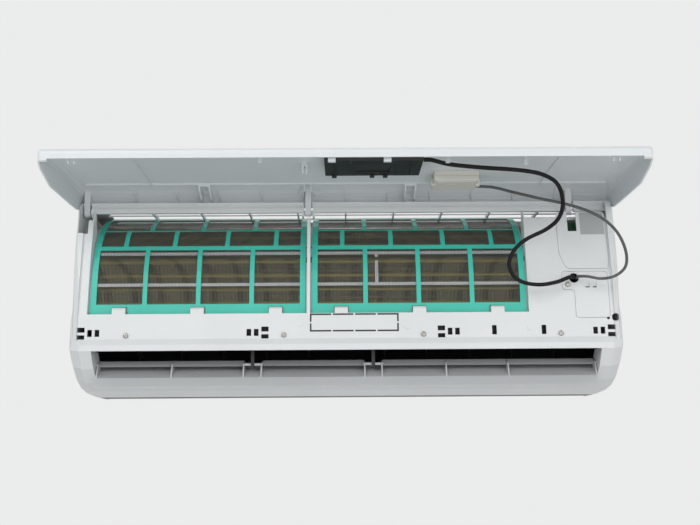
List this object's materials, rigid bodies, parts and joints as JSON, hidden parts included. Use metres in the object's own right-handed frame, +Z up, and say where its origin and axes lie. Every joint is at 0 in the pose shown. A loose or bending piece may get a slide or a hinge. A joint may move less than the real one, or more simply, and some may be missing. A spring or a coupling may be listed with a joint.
{
  "type": "split air conditioner indoor unit",
  "caption": "Wall-mounted air conditioner indoor unit, front panel swung open over the filters, coil and louver.",
  "frame": {"origin": "centre of the mounting plate's back face, on the wall plane", "axes": "+X along the unit to the right as seen from the front, -Y out of the wall to the front, +Z up"},
  "size_m": [0.835, 0.3683, 0.321],
  "materials": {
    "casing_white": "satin moulded, cool white",
    "panel_white": "semi-gloss outside, satin inside, cool white",
    "black_plastic": "satin moulded",
    "filter_teal": "satin moulded, teal green",
    "louver_grey": "satin moulded, very light grey",
    "box_beige": "satin moulded, beige white",
    "board_green": "circuit board laminate",
    "galvanised": "galvanised sheet",
    "nickel_screw": "nickel plated",
    "fin_aluminium": "coated fins, olive",
    "copper_tube": "bright copper tube",
    "flare_brass": "turned brass",
    "motor_steel": "zinc plated can",
    "bearing_rubber": "moulded rubber",
    "cable_black": "soft cable sheath",
    "cable_grey": "soft cable sheath"
  },
  "bodies": {
    "casing": {"mounting_plate": "galvanised", "rear_chassis": "black_plastic", "front_frame": "casing_white", "top_grille": "casing_white", "drain_pan": "black_plastic", "coil_front": "fin_aluminium", "coil_top": "fin_aluminium", "coil_rear": "fin_aluminium", "coil_end_left": "galvanised", "coil_end_right": "galvanised", "gas_pipe": "copper_tube", "liquid_pipe": "copper_tube", "gas_flare_nut": "flare_brass", "liquid_flare_nut": "flare_brass", "fan_motor": "motor_steel", "motor_clamp": "black_plastic", "fan_bearing": "bearing_rubber", "electrical_box": "casing_white", "control_board": "board_green", "terminal_block": "black_plastic", "electrical_box_cover": "casing_white", "wiring_cover": "casing_white", "wiring_cover_screw": "nickel_screw", "louver_motor": "casing_white", "display_cable": "cable_black", "module_cable": "cable_grey", "frame_screw_1": "nickel_screw", "frame_screw_2": "nickel_screw", "frame_screw_3": "nickel_screw", "frame_screw_4": "nickel_screw"},
    "panel": {"front_panel": "panel_white", "display_housing": "black_plastic", "module_box": "box_beige"},
    "louver": {"horizontal_louver": "louver_grey"},
    "fan": {"cross_flow_fan": "black_plastic"},
    "left_filter": {"filter_left": "filter_teal"},
    "right_filter": {"filter_right": "filter_teal"},
    "vane_left_1": {"vane_left_1": "black_plastic"},
    "vane_left_2": {"vane_left_2": "black_plastic"},
    "vane_left_3": {"vane_left_3": "black_plastic"},
    "vane_left_4": {"vane_left_4": "black_plastic"},
    "vane_left_5": {"vane_left_5": "black_plastic"},
    "vane_link_left": {"vane_link_left": "black_plastic"},
    "vane_right_1": {"vane_right_1": "black_plastic"},
    "vane_right_2": {"vane_right_2": "black_plastic"},
    "vane_right_3": {"vane_right_3": "black_plastic"},
    "vane_right_4": {"vane_right_4": "black_plastic"},
    "vane_right_5": {"vane_right_5": "black_plastic"},
    "vane_link_right": {"vane_link_right": "black_plastic"}
  },
  "joints": [
    {"name": "panel_hinge", "type": "hinge", "parent": "casing", "child": "panel", "pos_m": [0, -0.154, 0.133], "axis": [1, 0, 0], "range_deg": [0, 85], "deforming": ["display_cable", "module_cable"]},
    {"name": "louver_swing", "type": "hinge", "parent": "casing", "child": "louver", "pos_m": [0, -0.154, -0.1046], "axis": [1, 0, 0], "range_deg": [-80, 10]},
    {"name": "fan_spin", "type": "hinge", "parent": "casing", "child": "fan", "pos_m": [0, -0.09, 0.008], "axis": [1, 0, 0], "continuous": true},
    {"name": "filter_left_lift", "type": "hinge", "parent": "casing", "child": "left_filter", "pos_m": [-0.225, -0.086, 0.1415], "axis": [1, 0, 0], "range_deg": [-8, 0]},
    {"name": "filter_right_lift", "type": "hinge", "parent": "casing", "child": "right_filter", "pos_m": [0.11, -0.086, 0.1415], "axis": [1, 0, 0], "range_deg": [-8, 0]},
    {"name": "vane_left_1_swing", "type": "hinge", "parent": "casing", "child": "vane_left_1", "pos_m": [-0.324, -0.116, -0.066], "axis": [0, -0.7316, 0.6817], "range_deg": [-30, 30]},
    {"name": "vane_left_2_swing", "type": "hinge", "parent": "casing", "child": "vane_left_2", "pos_m": [-0.258, -0.116, -0.066], "axis": [0, -0.7316, 0.6817], "range_deg": [-30, 30]},
    {"name": "vane_left_3_swing", "type": "hinge", "parent": "casing", "child": "vane_left_3", "pos_m": [-0.192, -0.116, -0.066], "axis": [0, -0.7316, 0.6817], "range_deg": [-30, 30]},
    {"name": "vane_left_4_swing", "type": "hinge", "parent": "casing", "child": "vane_left_4", "pos_m": [-0.126, -0.116, -0.066], "axis": [0, -0.7316, 0.6817], "range_deg": [-30, 30]},
    {"name": "vane_left_5_swing", "type": "hinge", "parent": "casing", "child": "vane_left_5", "pos_m": [-0.06, -0.116, -0.066], "axis": [0, -0.7316, 0.6817], "range_deg": [-30, 30]},
    {"name": "vane_link_left_slide", "type": "slide", "parent": "casing", "child": "vane_link_left", "axis": [1, 0, 0], "range_m": [-0.0066, 0.0066]},
    {"name": "vane_right_1_swing", "type": "hinge", "parent": "casing", "child": "vane_right_1", "pos_m": [0.06, -0.116, -0.066], "axis": [0, -0.7316, 0.6817], "range_deg": [-30, 30]},
    {"name": "vane_right_2_swing", "type": "hinge", "parent": "casing", "child": "vane_right_2", "pos_m": [0.126, -0.116, -0.066], "axis": [0, -0.7316, 0.6817], "range_deg": [-30, 30]},
    {"name": "vane_right_3_swing", "type": "hinge", "parent": "casing", "child": "vane_right_3", "pos_m": [0.192, -0.116, -0.066], "axis": [0, -0.7316, 0.6817], "range_deg": [-30, 30]},
    {"name": "vane_right_4_swing", "type": "hinge", "parent": "casing", "child": "vane_right_4", "pos_m": [0.258, -0.116, -0.066], "axis": [0, -0.7316, 0.6817], "range_deg": [-30, 30]},
    {"name": "vane_right_5_swing", "type": "hinge", "parent": "casing", "child": "vane_right_5", "pos_m": [0.324, -0.116, -0.066], "axis": [0, -0.7316, 0.6817], "range_deg": [-30, 30]},
    {"name": "vane_link_right_slide", "type": "slide", "parent": "casing", "child": "vane_link_right", "axis": [1, 0, 0], "range_m": [-0.0066, 0.0066]}
  ],
  "couplings": [
    {"joint": "vane_left_2_swing", "follows": "vane_left_1_swing", "ratio": 1},
    {"joint": "vane_left_3_swing", "follows": "vane_left_1_swing", "ratio": 1},
    {"joint": "vane_left_4_swing", "follows": "vane_left_1_swing", "ratio": 1},
    {"joint": "vane_left_5_swing", "follows": "vane_left_1_swing", "ratio": 1},
    {"joint": "vane_link_left_slide", "follows": "vane_left_1_swing", "m_per_rad": -0.01241},
    {"joint": "vane_right_2_swing", "follows": "vane_right_1_swing", "ratio": 1},
    {"joint": "vane_right_3_swing", "follows": "vane_right_1_swing", "ratio": 1},
    {"joint": "vane_right_4_swing", "follows": "vane_right_1_swing", "ratio": 1},
    {"joint": "vane_right_5_swing", "follows": "vane_right_1_swing", "ratio": 1},
    {"joint": "vane_link_right_slide", "follows": "vane_right_1_swing", "m_per_rad": -0.01241}
  ]
}
